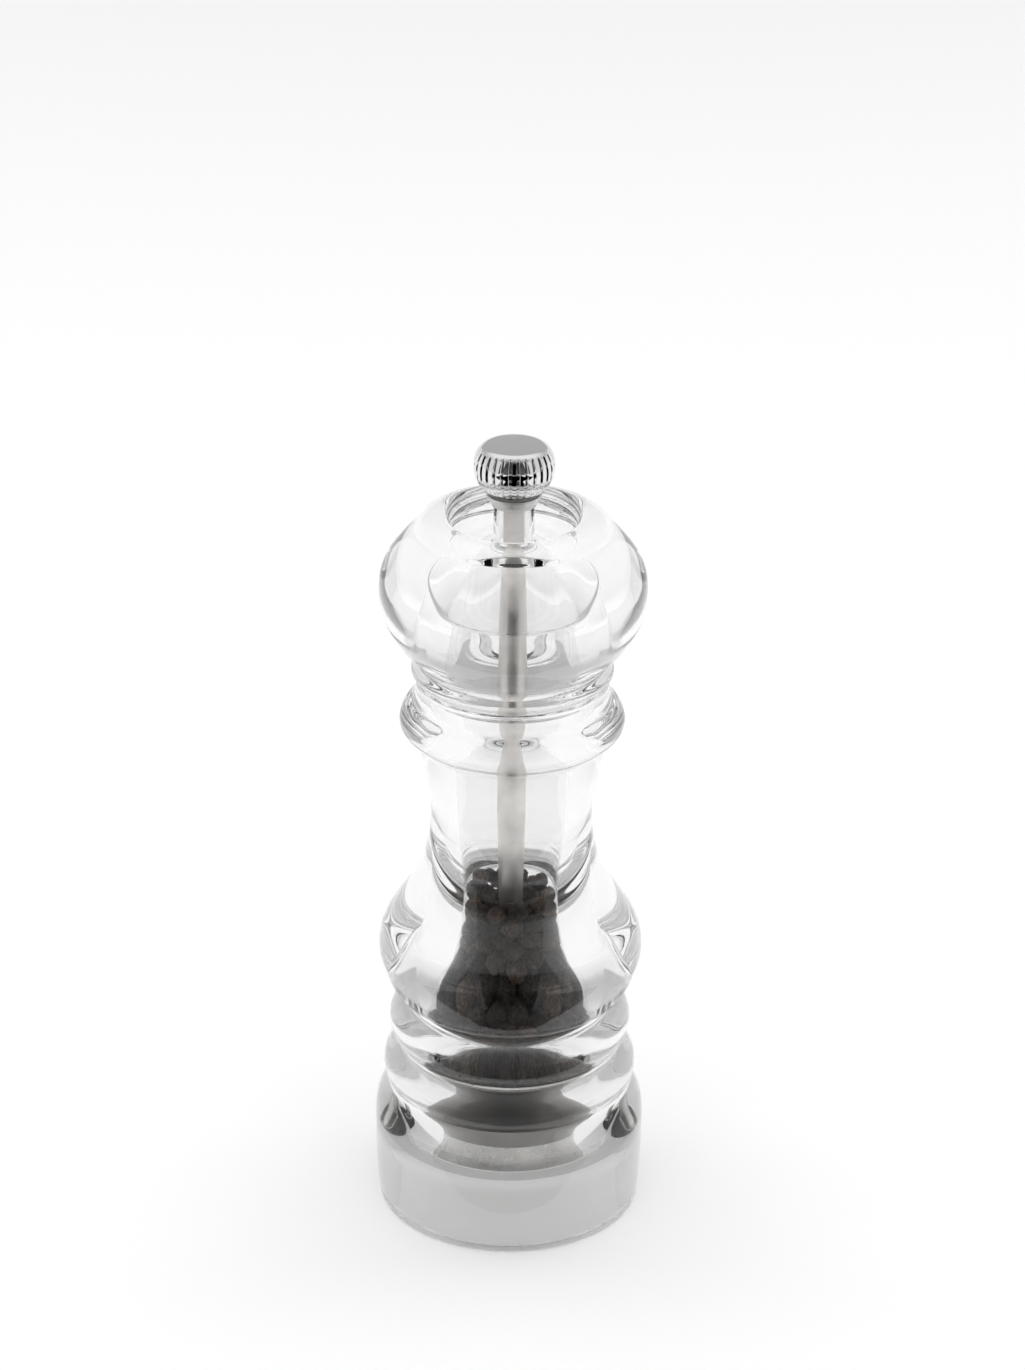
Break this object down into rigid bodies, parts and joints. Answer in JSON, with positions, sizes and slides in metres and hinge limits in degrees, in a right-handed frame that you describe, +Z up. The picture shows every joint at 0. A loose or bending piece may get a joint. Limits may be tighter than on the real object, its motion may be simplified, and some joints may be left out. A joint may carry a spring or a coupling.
{
  "type": "pepper mill",
  "caption": "Clear acrylic pepper mill with a turned baluster body, domed turning head, fluted chrome knob, steel shaft, toothed grinding mechanism and a fill of black peppercorns.",
  "frame": {"origin": "centre of the base's resting plane", "axes": "+Z up along the mill's turning axis; the front faces -Y"},
  "size_m": [0.0598, 0.0598, 0.18],
  "materials": {
    "acrylic": "clear polished acrylic",
    "steel": "fine turned",
    "steel_dark": "case-hardened, dark",
    "brass": "turned",
    "chrome": "bright plated",
    "satin": "satin",
    "nylon": "natural translucent white",
    "clear_nylon": "clear moulded nylon",
    "pepper": "dry, wrinkled"
  },
  "bodies": {
    "mill_body": {"clear_body": "acrylic", "stator": "steel_dark", "top_bridge": "steel", "upper_bush": "brass", "clamp_ring": "steel", "lower_bridge": "steel", "lower_bush": "brass", "bridge_screws": "steel", "screw_washers": "steel", "peppercorns": "pepper", "spring": "steel"},
    "thrust_washer": {"thrust_washer": "brass"},
    "spindle": {"shaft": "steel", "rotor": "steel_dark", "rotor_pin": "steel", "shaft_clip": "steel"},
    "glide_ring": {"glide_ring": "clear_nylon"},
    "head": {"clear_head": "acrylic", "drive_insert": "steel"},
    "knob_collar": {"knob_collar": "satin", "friction_washer": "nylon"},
    "knob": {"knob_shell": "chrome", "knob_insert": "brass"}
  },
  "joints": [
    {"name": "head_lift", "type": "slide", "parent": "mill_body", "child": "glide_ring", "axis": [0, 0, 1], "range_m": [0, 0.06]},
    {"name": "head_turn", "type": "hinge", "parent": "glide_ring", "child": "head", "pos_m": [0, 0, 0.1265], "axis": [0, 0, 1], "continuous": true},
    {"name": "knob_lift", "type": "slide", "parent": "head", "child": "knob_collar", "axis": [0, 0, 1], "range_m": [0, 0.02]},
    {"name": "knob_turn", "type": "hinge", "parent": "knob_collar", "child": "knob", "pos_m": [0, 0, 0.173], "axis": [0, 0, 1], "range_deg": [0, 540]},
    {"name": "grind_gap", "type": "slide", "parent": "mill_body", "child": "thrust_washer", "axis": [0, 0, 1], "range_m": [-0.00125, 0], "deforming": ["spring"]},
    {"name": "spindle_turn", "type": "hinge", "parent": "thrust_washer", "child": "spindle", "pos_m": [0, 0, 0.0335], "axis": [0, 0, 1], "continuous": true}
  ],
  "couplings": [
    {"joint": "grind_gap", "follows": "knob_turn", "m_per_rad": -0.00012732},
    {"joint": "spindle_turn", "follows": "head_turn", "ratio": 1}
  ]
}
